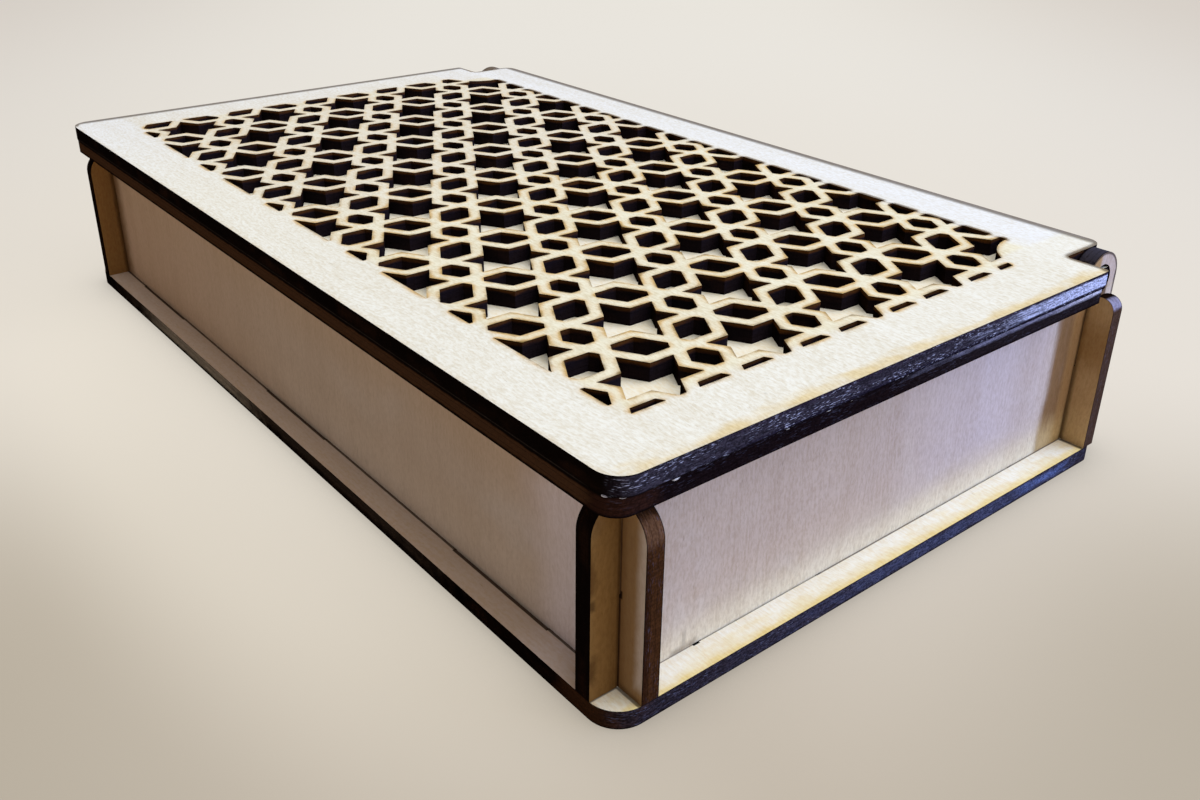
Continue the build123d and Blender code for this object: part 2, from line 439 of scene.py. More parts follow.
@dataclass(frozen=True)
class Stain:
    """A box of colour on a sheet, with soft or ragged borders.

    Args:
        low: its lowest corner, in millimetres.
        high: its highest corner, in millimetres.
        tint: its colour.
        strength: how much of the colour shows in its middle.
        soft: how wide its fading border is along X, Y and Z, in millimetres.
        ragged: how far noise moves its border, as a share of the border's width.
        speckle: how large that noise is, in millimetres.
    """

    low: Point
    high: Point
    tint: Colour
    strength: float = 1.0
    soft: Point = (0.5, 0.5, 0.5)
    ragged: float = 0.0
    speckle: Point = (2.4, 2.4, 2.4)

    def mask(self, graph: Graph, place: bpy.types.NodeSocket) -> bpy.types.NodeSocket:
        """The spot's mask.

        Args:
            graph: the material's graph.
            place: the position, in millimetres.

        Returns:
            The mask's socket, from 0 to the strength.
        """
        centre = tuple((a + b) / 2 for a, b in zip(self.low, self.high))
        half = tuple((b - a) / 2 for a, b in zip(self.low, self.high))
        off = graph.vector("ABSOLUTE", graph.vector("SUBTRACT", place, centre))
        deep = graph.vector("DIVIDE", graph.vector("SUBTRACT", half, off), self.soft)
        parts = graph.split(deep)
        inside = graph.math("MINIMUM", graph.math("MINIMUM", parts[0], parts[1]), parts[2])
        if self.ragged:
            wander = graph.noise(place, self.speckle, 3.0)
            moved = graph.math("MULTIPLY_ADD", wander, 2 * self.ragged, -self.ragged)
            inside = graph.math("ADD", inside, moved)
        return graph.ramp(inside, 0.0, 1.0, 0.0, self.strength)


@dataclass(frozen=True)
class Ring:
    """A ring of colour round an axis that runs along X.

    Args:
        centre: its centre on Y and Z, in millimetres.
        inner: the radius at which it starts, in millimetres.
        outer: the radius at which it shows in full, in millimetres.
        tint: its colour.
        strength: how much of the colour shows.
    """

    centre: tuple[float, float]
    inner: float
    outer: float
    tint: Colour
    strength: float = 1.0

    def mask(self, graph: Graph, place: bpy.types.NodeSocket) -> bpy.types.NodeSocket:
        """The ring's mask, which is empty below the axis.

        Args:
            graph: the material's graph.
            place: the position, in millimetres.

        Returns:
            The mask's socket, from 0 to the strength.
        """
        flat = graph.vector("MULTIPLY", place, (0.0, 1.0, 1.0))
        off = graph.vector("SUBTRACT", flat, (0.0, *self.centre))
        far = graph.ramp(graph.vector("LENGTH", off), self.inner, self.outer, 0.0, self.strength)
        return graph.math("MULTIPLY", far, graph.ramp(graph.split(off)[2], -2.0, -0.5))


Mark = Stain | Ring


@dataclass(frozen=True)
class PlyFinish:
    """Bare birch plywood with laser-cut edges.

    Args:
        name: the material's name.
        facing: the axis of the sheet's thickness.
        low: where the thickness starts on that axis, in millimetres.
        grain: the way that the face's grain runs.
        pale: the wood's light tone.
        deep: the tone of its grain.
        contrast: how strongly the grain shows.
        streaks: the share of long streaks in it.
        mottles: the share of fine mottling in it.
        amber: the halo's colour beside cuts.
        halo: how strongly the halo shows.
        halo_reach: how far it goes, in millimetres.
        rim_low: the lowest corner of the sheet's outline, in millimetres.
        rim_high: the highest corner of that outline, in millimetres.
        soot: the charred edge's colour.
        ember: the colour where the soot is thin.
        ash: the colour of its specks: ash, with painted glints on it.
        sheen: the painted sheen on the edges that face along +X: a reflection painted into the soot's colour.
        specks: how strongly the specks show on those edges.
        grit: how strongly fine grit lightens and darkens those edges.
        bed_stains: spots of colour on the faces, under the halo.
        face_stains: spots of colour on the faces, over the halo.
        edge_stains: spots of colour on the edges.
        thickness: the sheet's thickness, in millimetres.
    """

    name: str
    facing: Facing
    low: float
    grain: Grain
    pale: Colour = srgb(232, 222, 203)
    deep: Colour = srgb(205, 186, 156)
    contrast: float = 1.0
    streaks: float = 0.45
    mottles: float = 0.7
    amber: Colour = srgb(233, 200, 138)
    halo: float = 1.0
    halo_reach: float = 2.4
    rim_low: Point = (-100.0, -59.8, 0.0)
    rim_high: Point = (100.0, 55.2, 33.0)
    soot: Colour = srgb(15, 9, 7)
    ember: Colour = srgb(46, 28, 18)
    ash: Colour = srgb(128, 130, 168)
    sheen: Colour = srgb(58, 40, 34)
    specks: float = 0.4
    grit: float = 0.6
    bed_stains: tuple[Mark, ...] = ()
    face_stains: tuple[Mark, ...] = ()
    edge_stains: tuple[Mark, ...] = ()
    thickness: float = 3.0

    def build(self) -> bpy.types.Material:
        """Makes the material.

        Returns:
            The material.
        """
        made, graph = blank_material(self.name)
        coordinates = graph.add("ShaderNodeTexCoord").outputs
        place = graph.scale(coordinates["Object"], 1 / MM)
        turn = graph.split(coordinates["Normal"])
        edge = graph.math("LESS_THAN", graph.math("ABSOLUTE", turn[self.facing.value]), ON_EDGE)
        face_look = self.face(graph, place)
        edge_look = self.cut(graph, place, graph.ramp(turn[0], TURNED_AWAY, TURNED_RIGHT))
        colour = graph.blend(edge, face_look[0], edge_look[0])
        rough, height, coat = (graph.lerp(edge, *pair) for pair in zip(face_look[1:], edge_look[1:]))
        ins = {"Strength": 0.6, "Distance": RELIEF, "Height": height}
        bump = graph.add("ShaderNodeBump", ins).outputs["Normal"]
        ins = {"Base Color": colour, "Roughness": rough, "Coat Weight": coat, "Normal": bump}
        shader = graph.add("ShaderNodeBsdfPrincipled", ins)
        shader.inputs["Specular IOR Level"].default_value = 0.0
        shader.inputs["Coat Roughness"].default_value = 0.42
        graph.finish(shader.outputs["BSDF"])
        return made

    def through(self, graph: Graph, place: bpy.types.NodeSocket) -> tuple[bpy.types.NodeSocket, ...]:
        """The place turned so that Z runs through the sheet, and the depth in it.

        Args:
            graph: the material's graph.
            place: the position, in millimetres.

        Returns:
            The turned place, and the depth from 0 to 1.
        """
        split = graph.split(place)
        across = split[self.facing.value]
        along = [split[axis] for axis in range(3) if axis != self.facing.value]
        turned = graph.add("ShaderNodeCombineXYZ", {0: along[0], 1: along[1], 2: across}).outputs[0]
        depth = graph.math("DIVIDE", graph.math("SUBTRACT", across, self.low), self.thickness)
        return turned, depth

    def openness(self, graph: Graph, place: bpy.types.NodeSocket) -> bpy.types.NodeSocket:
        """How far the face is from a cut, from 0.5 at the cut to 1 where no halo shows.

        Args:
            graph: the material's graph.
            place: the position, in millimetres.

        Returns:
            The socket.
        """
        split = graph.split(place)
        nearest = None
        for axis, (low, high) in enumerate(zip(self.rim_low, self.rim_high)):
            if axis == self.facing.value:
                continue
            middle, half = (low + high) / 2, (high - low) / 2
            off = graph.math("ABSOLUTE", graph.math("SUBTRACT", split[axis], middle))
            inside = graph.math("SUBTRACT", half, off)
            nearest = inside if nearest is None else graph.math("MINIMUM", nearest, inside)
        return graph.ramp(nearest, 0.0, self.halo_reach, 0.5, 1.0)

    def face(self, graph: Graph, place: bpy.types.NodeSocket) -> tuple[bpy.types.NodeSocket, ...]:
        """The sheet's faces: grain, halo and stains.

        Args:
            graph: the material's graph.
            place: the position, in millimetres.

        Returns:
            The colour, roughness, height and coat.
        """
        turned = graph.add("ShaderNodeMapping", {"Vector": place, "Rotation": self.grain.value}).outputs[0]
        grain = BIRCH_GRAIN.place(graph, Place=turned)
        near = self.openness(graph, place)
        halo = BURN_HALO.place(graph, Place=place, Openness=near)
        streaks = graph.ramp(grain["Streak"], 0.30, 0.75, 0.0, self.streaks * self.contrast)
        bands = graph.ramp(grain["Band"], 0.35, 0.75, 0.0, 0.3 * self.contrast)
        mottle = graph.ramp(grain["Mottle"], 0.32, 0.72, 0.0, self.mottles * self.contrast)
        share = graph.math("ADD", graph.math("ADD", streaks, bands), mottle, clamp=True)
        colour = self.pale
        for stain in self.bed_stains:
            colour = graph.blend(stain.mask(graph, place), colour, stain.tint)
        shown = self.halo_share(graph, place)
        colour = graph.blend(graph.math("MULTIPLY", halo["Amber"], shown, clamp=True), colour, self.amber)
        burnt = tuple(SCORCHED * c for c in self.amber)
        colour = graph.blend(graph.math("MULTIPLY", halo["Scorch"], shown, clamp=True), colour, burnt)
        for stain in self.face_stains:
            colour = graph.blend(stain.mask(graph, place), colour, stain.tint)
        colour = self.burn_arris(graph, place, near, colour)
        tone = tuple(min(1.0, d / p) for d, p in zip(self.deep, self.pale))
        colour = graph.shade(share, colour, tone)
        flecks = graph.math("MULTIPLY", grain["Fleck"], 0.45 * self.contrast)
        colour = graph.shade(flecks, colour, tuple(0.6 * t for t in tone))
        rough = graph.math("MULTIPLY_ADD", grain["Cloud"], 0.16, 0.52)
        coat = graph.math("MULTIPLY_ADD", grain["Mottle"], 0.12, 0.02)
        return colour, rough, grain["Height"], coat

    def halo_share(self, graph: Graph, place: bpy.types.NodeSocket) -> object:
        """How strongly the halo shows, which is the same all over a plain sheet."""
        return self.halo

    def exposed(self, graph: Graph, place: bpy.types.NodeSocket) -> object:
        """How far grit and specks show on the edges, which is in full on a plain sheet."""
        return 1.0

    def burn_arris(self, graph: Graph, place: object, near: object, colour: object) -> bpy.types.NodeSocket:
        """The face's colour, with no burnt line on a plain sheet."""
        return colour

    def cut(
        self, graph: Graph, place: bpy.types.NodeSocket, lit: bpy.types.NodeSocket
    ) -> tuple[bpy.types.NodeSocket, ...]:
        """The sheet's charred edges.

        Args:
            graph: the material's graph.
            place: the position, in millimetres.
            lit: how far the edge faces along +X, from 0 to 1.

        Returns:
            The colour, roughness, height and coat.
        """
        turned, depth = self.through(graph, place)
        char = CHARRED_EDGE.place(graph, Place=turned, Depth=depth)
        colour = graph.blend(graph.math("MULTIPLY", char["Thin Soot"], 0.9), self.soot, self.ember)
        # Painted sheen: edges that face along +X get the sheen colour, a reflection painted into the soot's colour.
        sheen_share = graph.math("MULTIPLY", lit, graph.ramp(char["Beam"], 0.25, 0.7, 0.7, 1.0))
        colour = graph.blend(sheen_share, colour, self.sheen)
        for stain in self.edge_stains:
            colour = graph.blend(stain.mask(graph, place), colour, stain.tint)
        colour = graph.blend(graph.math("MULTIPLY", char["Glue"], 0.5), colour, self.soot)
        # Grit and specks show most on the edges that face along +X, where they are partly painted glints.
        bare = graph.math("MULTIPLY", self.exposed(graph, place), graph.lerp(lit, 0.25, 1.0))
        dim = graph.math("MULTIPLY_ADD", bare, -self.grit, 1.0)
        bright = graph.math("MULTIPLY_ADD", bare, 1.3 * self.grit, 1.0)
        gritty = graph.scale(colour, graph.lerp(char["Grit"], dim, bright))
        shown = graph.ramp(bare, 0.3, 1.0, 0.0, self.specks)
        glint = graph.math("MULTIPLY", char["Speck"], shown)
        # The specks take the ash colour: ash with painted glints on it.
        colour = graph.blend(glint, gritty, self.ash)
        border = graph.math("MULTIPLY", graph.ramp(depth, 0.10, 0.02), 0.8)
        border = graph.math("MAXIMUM", border, graph.math("MULTIPLY", graph.ramp(depth, 0.92, 0.99), 0.8))
        colour = graph.blend(border, colour, self.soot)
        rough = graph.math("MULTIPLY_ADD", char["Beam"], -0.3, 0.85)
        coat = graph.math("MULTIPLY", glint, 0.8)
        return colour, rough, graph.math("MULTIPLY", char["Height"], 1.6), coat


@dataclass(frozen=True)
class PiercedPly(PlyFinish):
    """Birch plywood pierced by many cuts, with a halo beside every one of them.

    Args:
        plain_rim: how wide the uncut rim is, where the halo is faint, in millimetres.
        arris: the colour of the burnt rear and left arrises.
        arris_width: how wide the burnt line is, in millimetres.
    """

    plain_rim: float = 4.0
    arris: Colour = srgb(92, 78, 66)
    arris_width: float = 2.6

    def openness(self, graph: Graph, place: bpy.types.NodeSocket) -> bpy.types.NodeSocket:
        """How little of the wood under the face is cut away near a point.

        Args:
            graph: the material's graph.
            place: the position, in millimetres, which is not needed here.

        Returns:
            The socket.
        """
        node = graph.add("ShaderNodeAmbientOcclusion", {"Distance": self.halo_reach * MM})
        node.samples = 12
        node.inside = True
        node.only_local = True
        return node.outputs["AO"]

    def halo_share(self, graph: Graph, place: bpy.types.NodeSocket) -> object:
        """How strongly the halo shows: in full beside the piercings, faint along the outer rim.

        Args:
            graph: the material's graph.
            place: the position, in millimetres.

        Returns:
            The share's socket.
        """
        wide = self.plain_rim
        low = (self.rim_low[0] + wide, self.rim_low[1] + wide, -10)
        high = (self.rim_high[0] - wide, self.rim_high[1] - wide, 90)
        inner = Stain(low, high, self.amber, 1.0, (1.5, 1.5, 1.0)).mask(graph, place)
        return graph.lerp(inner, 0.2 * self.halo, self.halo)

    def exposed(self, graph: Graph, place: bpy.types.NodeSocket) -> object:
        """How far grit and specks show on the edges: in full outside, hardly in the piercings.

        Args:
            graph: the material's graph.
            place: the position, in millimetres.

        Returns:
            The share's socket.
        """
        low = (self.rim_low[0] + 1, self.rim_low[1] + 1, -10)
        high = (self.rim_high[0] - 1, self.rim_high[1] - 1, 90)
        inner = Stain(low, high, self.soot).mask(graph, place)
        return graph.lerp(inner, 1.0, 0.18)

    def burn_arris(self, graph: Graph, place: object, near: object, colour: object) -> bpy.types.NodeSocket:
        """The face's colour, with a burnt line along the rear and left arrises.

        Args:
            graph: the material's graph.
            place: the position, in millimetres.
            near: how little of the wood is cut away near a point.
            colour: the face's colour.

        Returns:
            The colour's socket.
        """
        split = graph.split(place)
        wide = self.arris_width
        edge = graph.ramp(split[1], self.rim_high[1] - wide, self.rim_high[1] - 0.4 * wide)
        side = graph.ramp(split[0], self.rim_low[0] + wide, self.rim_low[0] + 0.4 * wide)
        beside = graph.math("MAXIMUM", graph.math("MAXIMUM", edge, side), graph.ramp(near, 0.95, 0.7))
        rear = Stain((-120, self.rim_high[1] - 13.5, 0), (120, 90, 90), self.arris, 1.0, (1, 1, 1))
        left = Stain((-120, -90, 0), (self.rim_low[0] + 4, 90, 90), self.arris, 1.0, (1, 1, 1))
        where = graph.math("MAXIMUM", rear.mask(graph, place), left.mask(graph, place))
        line = graph.math("MULTIPLY", graph.math("MULTIPLY", beside, where), 0.8)
        return graph.blend(line, colour, self.arris)


@dataclass(frozen=True)
class GlueFinish:
    """Dried wood glue: cloudy and slightly shiny.

    Args:
        name: the material's name.
        pale: its light tone.
        deep: its cloudy tone.
    """

    name: str = "dried_glue"
    pale: Colour = srgb(226, 226, 236)
    deep: Colour = srgb(118, 114, 128)

    def build(self) -> bpy.types.Material:
        """Makes the material.

        Returns:
            The material.
        """
        made, graph = blank_material(self.name)
        place = graph.scale(graph.add("ShaderNodeTexCoord").outputs["Object"], 1 / MM)
        cloud = graph.noise(place, (1.2, 1.2, 0.4), 2.0)
        colour = graph.blend(graph.ramp(cloud, 0.4, 0.62), self.pale, self.deep)
        rough = graph.math("MULTIPLY_ADD", cloud, 0.4, 0.2)
        bump = graph.add("ShaderNodeBump", {"Strength": 0.5, "Distance": 0.00005, "Height": cloud})
        ins = {"Base Color": colour, "Roughness": rough, "Normal": bump.outputs["Normal"]}
        shader = graph.add("ShaderNodeBsdfPrincipled", ins)
        shader.inputs["Specular IOR Level"].default_value = 0.5
        graph.finish(shader.outputs["BSDF"])
        return made


@dataclass
class SheetPart:
    """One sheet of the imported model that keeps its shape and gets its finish.

    Args:
        node: the sheet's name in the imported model.
        finish: its plywood finish.
    """

    node: str
    finish: PlyFinish

    def dress(self, nodes: dict[str, bpy.types.Object]) -> None:
        """Gives the sheet its material.

        Args:
            nodes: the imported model's objects by name.
        """
        made = self.finish.build()
        for slot in nodes[self.node].material_slots:
            slot.material = made
        log.info("%s: %s", self.node, self.finish.name)


@dataclass
class Tray:
    """The box under the lid: its base and four walls.

    Args:
        half_length: half the base's length, in millimetres.
        base_front: the base's front edge on Y, in millimetres.
        base_rear: its rear edge on Y, in millimetres.
        ledge: how far the base stands out past the walls, in millimetres.
        wall_low: the height of the walls' foot, in millimetres.
        wall_high: the height of the walls' top, in millimetres.
        thickness: the sheets' thickness, in millimetres.
    """

    half_length: float = 100.0
    base_front: float = -59.8
    base_rear: float = 55.2
    ledge: float = 4.8
    wall_low: float = 3.0
    wall_high: float = 33.0
    thickness: float = 3.0

    def build(self, nodes: dict[str, bpy.types.Object]) -> None:
        """Dresses the base and the walls.

        Args:
            nodes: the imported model's objects by name.
        """
        front = self.base_front + self.ledge
        side = self.half_length - self.ledge
        back = self.base_rear - self.thickness
        sheets = [
            SheetPart("base_plate", self.base(front, side, back)),
            SheetPart("front_wall", self.front_wall(front, side)),
            SheetPart("back_wall", self.back_wall(back, side)),
            SheetPart("left_wall", self.left_wall(front, side)),
            SheetPart("right_wall", self.right_wall(front, back, side)),
        ]
        for sheet in sheets:
            sheet.dress(nodes)

    def base(self, front: float, side: float, back: float) -> PlyFinish:
        """The base plate's finish: pale, with painted shade along the front ledge, painted light on the right ledge
        and by the near corner, and dark seams of painted shade at the walls' feet.

        Args:
            front: the front wall's outer face on Y, in millimetres.
            side: the side walls' outer face on X, in millimetres.
            back: the back wall's inner face on Y, in millimetres.

        Returns:
            The finish.
        """
        low, high, edge = self.wall_low - 1, self.wall_low + 1, self.half_length
        fine, tight = (0.25, 0.25, 0.5), (0.12, 0.2, 0.5)
        # These three are painted shade in the joints and in the slot's open end.
        seam, brown, black = srgb(112, 102, 92), srgb(50, 32, 20), srgb(12, 9, 9)
        # Of these, gold is burn, the second is painted shade for the front ledge and the third is painted light for
        # the right ledge.
        gold, shade, painted_light = srgb(243, 224, 158), srgb(196, 176, 164), srgb(255, 255, 245)
        pocket = self.base_front + 18.2  # the open end of the right wall's first slot
        crisp = (0.2, 0.12, 0.5)
        slots = ((-80.0, -56.0), (-12.0, 12.0), (56.0, 80.0))  # the front wall's slots along X
        gaps = ((-side, -80.0), (-56.0, -12.0), (12.0, 56.0), (80.0, side))  # and what lies between them
        # Painted shade along the front wall's foot, deeper where the slots run.
        seams = [
            Stain((start, front - 0.5, low), (end, front + 0.3, high), brown, 0.85, crisp, 0.4)
            for start, end in gaps
        ]
        seams += [
            Stain((start - 0.4, front - 0.7, low), (end + 0.4, front + 0.3, high), brown, 0.92, crisp, 0.3)
            for start, end in slots
        ]
        # The first mark is painted shade on the front ledge, the second is painted light by the near corner and the
        # third is painted light on the right ledge. The two gold ones are burn. The seams and all the marks after
        # them are painted shade in the joints and in the slot's open end.
        marks = (
            Stain((-edge - 5, self.base_front - 5, low), (side, front + 3, high), shade, 0.9),
            Stain((74, self.base_front - 5, low), (side, front + 3, high), srgb(222, 210, 212), 0.75, (14, 1, 0.5)),
            Stain((side + 0.9, -60, low), (edge + 3, back - 2, high), painted_light, 0.85, (0.8, 2, 0.5)),
            Stain((edge - 3.4, -60, low), (edge + 3, 60, high), gold, 0.4, (2.6, 2, 0.5), 1.5, (2, 5, 1)),
            Stain((edge - 1.6, -60, low), (edge + 3, 60, high), gold, 0.9, (1.6, 2, 0.5), 0.7, (1.2, 3, 1)),
            *seams,
            Stain((side - 0.3, front, low), (side + 0.25, back, high), seam, 0.8, tight, 0.3),
            Stain((side - 0.3, pocket + 26, low), (side + 0.32, back, high), seam, 0.7, tight, 0.3),
            Stain((side - 0.5, pocket, low), (side + 0.45, pocket + 1.4, high), black, 1.0, tight),
            Stain((side - 0.6, self.base_front - 5, low), (side + 0.35, front, high), brown, 0.8, fine, 0.3),
            Stain((side, front - 0.6, low), (edge + 1, front + 0.3, high), brown, 0.75, fine, 0.3),
            Stain((side, back - 1.0, low), (edge + 1, back + 0.4, high), srgb(46, 28, 15), 0.9, (0.5, 0.6, 0.5), 0.3),
        )
        right, left = (edge - 1, edge + 1), (-74.0, -2.0)
        # The first three edge marks are painted sheen and painted blue reflections on the right edge.
        blue = srgb(86, 96, 136)
        edges = (
            Stain((right[0], -55, -1), (right[1], 60, 4), srgb(52, 48, 60), 0.75, (0.5, 30, 0.6), 0.6, (2, 3, 1.2)),
            Stain((right[0], -34, 0), (right[1], 60, 3), blue, 0.28, (0.5, 40, 0.9), 1.1, (2, 4, 1)),
            Stain((right[0], 29, 0.4), (right[1], 50, 2.8), srgb(92, 108, 160), 0.6, (0.5, 8, 0.9), 0.8, (2, 5, 1)),
            Stain((left[0], -66, 0.2), (left[1], front - 4, 4), srgb(196, 180, 160), 0.85, (24, 0.5, 1.2), 0.4),
            Stain((-94, -66, 0.2), (70, front - 4, 4), srgb(70, 58, 50), 0.5, (30, 0.5, 1.6), 0.8),
            Stain((edge - 14, -66, -1), (edge + 1, front + 3, 4), srgb(62, 38, 24), 0.85, (5, 3, 1), 0.5),
        )
        return PlyFinish(
            "base_birch",
            Facing.UP,
            0.0,
            Grain.ALONG_X,
            pale=srgb(250, 248, 238),
            deep=srgb(238, 226, 200),
            contrast=0.95,
            streaks=0.4,
            mottles=0.6,
            halo=0.35,
            halo_reach=1.2,
            ash=srgb(104, 112, 150),
            sheen=srgb(45, 39, 47),
            specks=0.5,
            grit=0.45,
            face_stains=marks,
            edge_stains=edges,
        )

    def wall(
        self,
        name: str,
        facing: Facing,
        low: float,
        marks: tuple[Mark, ...],
        burns: tuple[Mark, ...] = (),
        sheen: Colour = srgb(67, 41, 23),
        contrast: float = 0.9,
    ) -> PlyFinish:
        """A wall's finish, with its grain upright.

        Args:
            name: the material's name.
            facing: the axis of the wall's thickness.
            low: where the wall starts on that axis, in millimetres.
            marks: the stains on its faces.
            burns: the stains on its edges.
            sheen: the painted sheen on its edges that face along +X.
            contrast: how strongly the grain shows.

        Returns:
            The finish.
        """
        return PlyFinish(
            name,
            facing,
            low,
            Grain.UPRIGHT,
            pale=srgb(214, 199, 188),
            deep=srgb(188, 169, 153),
            contrast=contrast,
            streaks=0.28,
            mottles=0.6,
            halo=0.2,
            halo_reach=0.8,
            rim_low=(-self.half_length, self.base_front, 0.0),
            rim_high=(self.half_length, self.base_rear + 5.07, self.wall_high - 0.9),
            sheen=sheen,
            specks=0.15,
            grit=0.22,
            face_stains=marks,
            edge_stains=burns,
        )

    def front_wall(self, front: float, side: float) -> PlyFinish:
        """The front wall's finish, with a painted tan highlight at its fin's bend.

        Args:
            front: the wall's outer face on Y, in millimetres.
            side: the side walls' outer face on X, in millimetres.

        Returns:
            The finish.
        """
        edge = self.half_length
        # A painted highlight on the fin's bend.
        tan = srgb(98, 70, 52)
        bend = Stain(
            (edge - 5, front - 1, 26.8), (edge + 2, front + 5, 31.6), tan, 0.8, (1, 1, 1.6), 0.9, (2, 0.8, 2.4)
        )
        outer = Stain(
            (edge - 3, front - 1, -5), (edge + 2, front + 1.2, 26.5), srgb(34, 17, 11), 0.6, (1, 0.7, 2), 0.3
        )
        marks = self.front_marks(front, side)
        return self.wall("front_birch", Facing.FRONT, front, marks, (outer, bend), contrast=0.6)

    def back_wall(self, back: float, side: float) -> PlyFinish:
        """The back wall's finish, with a painted cool highlight at its fin's bend.

        Args:
            back: the wall's inner face on Y, in millimetres.
            side: the side walls' outer face on X, in millimetres.

        Returns:
            The finish.
        """
        edge = self.half_length
        # A painted highlight on the fin's bend.
        cool = srgb(150, 146, 172)
        bend = Stain((edge - 2, back - 1, 29.9), (edge + 2, back + 5, 32.6), cool, 0.85, (1, 1, 1.1), 0.5, (1, 1, 1))
        marks = self.back_marks(back, side)
        return self.wall("back_birch", Facing.FRONT, back, marks, (bend,), srgb(76, 56, 46))

    def left_wall(self, front: float, side: float) -> PlyFinish:
        """The left wall's finish, with thin soot on the top of its ear.

        Args:
            front: the front wall's outer face on Y, in millimetres.
            side: the side walls' outer face on X, in millimetres.

        Returns:
            The finish.
        """
        top = Stain((-side - 2, 49, 36.5), (-side + 5, 62, 45), srgb(128, 114, 102), 0.85, (1, 1, 1), 0.3)
        return self.wall("left_birch", Facing.SIDE, -side, self.left_marks(front, side), (top,))

    def right_wall(self, front: float, back: float, side: float) -> PlyFinish:
        """The right wall's finish, with ash and a painted lavender sheen on the top of its ear.

        Args:
            front: the front wall's outer face on Y, in millimetres.
            back: the back wall's inner face on Y, in millimetres.
            side: the wall's outer face on X, in millimetres.

        Returns:
            The finish.
        """
        top = ((side - 5, 50, 37.0), (side + 2, 60, 45))
        # Ash with a painted lavender sheen on the ear's top.
        ash = Stain(*top, srgb(72, 70, 84), 0.6, (1, 2, 1.2), 1.2, (0.6, 0.6, 0.6))
        low, marks = side - self.thickness, self.right_marks(front, back, side)
        return self.wall("right_birch", Facing.SIDE, low, marks, (ash,), contrast=0.95)

    def front_marks(self, front: float, side: float) -> tuple[Stain, ...]:
        """The marks on the front wall: smoke and painted shade on its fins, painted light along its foot and towards
        its right end, and browner towards the left.

        Args:
            front: the wall's outer face on Y, in millimetres.
            side: the side walls' outer face on X, in millimetres.

        Returns:
            The stains.
        """
        near, far, edge = front - 1, front + 4, self.half_length
        fine, wide = (0.3, 1, 0.3), (22, 22, 14)
        tan, pale = srgb(148, 113, 68), srgb(218, 204, 192)
        # In order: painted bounce light along the foot, twice; browner towards the left; painted cool light towards
        # the right end; two cloudy tones; painted cool light by the right end; smoke and painted shade on the left
        # fin, and on the right fin, twice; painted light along the right fin's outer edge; painted shade in the
        # joint, at the lap's step and at the fin's foot.
        return (
            Stain((-side, near, -40), (side, far, 16), srgb(238, 218, 198), 0.7, (8, 1, 13)),
            Stain((-20, near, -40), (190, far, 14), srgb(250, 240, 232), 0.7, (40, 1, 11)),
            Stain((-190, near, -20), (25, far, 60), srgb(201, 160, 130), 0.75, (110, 1, 1)),
            Stain((60, near, -30), (190, far, 60), srgb(214, 202, 202), 0.5, (30, 1, 1), 0.2, wide),
            Stain((-150, near, -40), (150, far, 70), srgb(202, 174, 146), 0.5, (50, 1, 40), 1.2, wide),
            Stain((-150, near, 18), (150, far, 70), srgb(196, 168, 140), 0.5, (50, 1, 10), 0.4, wide),
            Stain((73, near, -30), (190, far, 60), srgb(233, 219, 222), 0.85, (13, 1, 1), 0.4, (22, 22, 9)),
            Stain((-side - 12, near, -20), (-side + 9, far, 60), srgb(116, 80, 38), 0.82, (6.5, 1, 1), 0.2),
            Stain((side - 3, near, -5), (edge + 3, far, 50), tan, 0.96, (1, 1, 1)),
            Stain((side - 1, near, -5), (side + 1.8, far, 50), srgb(130, 92, 50), 0.45, (1.6, 1, 1), 0.2),
            Stain((edge - 2.2, near, 4), (edge + 3, far, 44), pale, 0.68, (1.9, 1, 3), 0.2),
            Stain((side - 1, near, -5), (side + 0.4, far, 50), srgb(52, 28, 16), 0.85, fine, 0.2),
            Stain((side - 1, near, 17.4), (side + 0.65, far, 18.9), srgb(30, 16, 10), 0.9, fine, 0.2),
            Stain((side, near, 0), (edge, far, 4.2), srgb(84, 58, 34), 0.5, (1, 1, 1), 0.4),
        )

    def back_marks(self, back: float, side: float) -> tuple[Stain, ...]:
        """The marks on the back wall: smoke and painted shade on the inner faces of its fins.

        Args:
            back: the wall's inner face on Y, in millimetres.
            side: the side walls' outer face on X, in millimetres.

        Returns:
            The stains.
        """
        near, far = back - 1, back + 1
        # dark is painted shade in the corner by the side wall; the others are smoke and painted shade, lighter
        # towards the bottom and darker higher up.
        tan, dark, pale, deep = srgb(188, 154, 108), srgb(62, 42, 20), srgb(204, 174, 128), srgb(146, 108, 62)
        return tuple(
            mark
            for turn in (1, -1)
            for mark in (
                self.band(turn, side - 1, side + 9, near, far, (-5, 50), tan, 0.96, (0.5, 1, 1)),
                self.band(turn, side - 1, side + 9, near, far, (-5, 14), pale, 0.7, (0.5, 1, 9)),
                self.band(turn, side - 1, side + 1.0, near, far, (-5, 50), dark, 0.7, (0.9, 1, 1)),
                self.band(turn, side - 1, side + 9, near, far, (15, 31), deep, 0.7, (0.5, 1, 7)),
            )
        )

    def band(
        self,
        turn: int,
        inner: float,
        outer: float,
        near: float,
        far: float,
        heights: tuple[float, float],
        tint: Colour,
        strength: float,
        soft: Point,
    ) -> Stain:
        """A mark on one of a pair of fins.

        Args:
            turn: 1 for the right fin and -1 for the left one.
            inner: its inner border's distance from the middle, in millimetres.
            outer: its outer border's distance from the middle, in millimetres.
            near: its lowest Y, in millimetres.
            far: its highest Y, in millimetres.
            heights: its lowest and highest Z, in millimetres.
            tint: its colour.
            strength: how much of the colour shows.
            soft: how wide its fading border is, in millimetres.

        Returns:
            The stain.
        """
        ends = sorted((turn * inner, turn * outer))
        return Stain((ends[0], near, heights[0]), (ends[1], far, heights[1]), tint, strength, soft, 0.2)

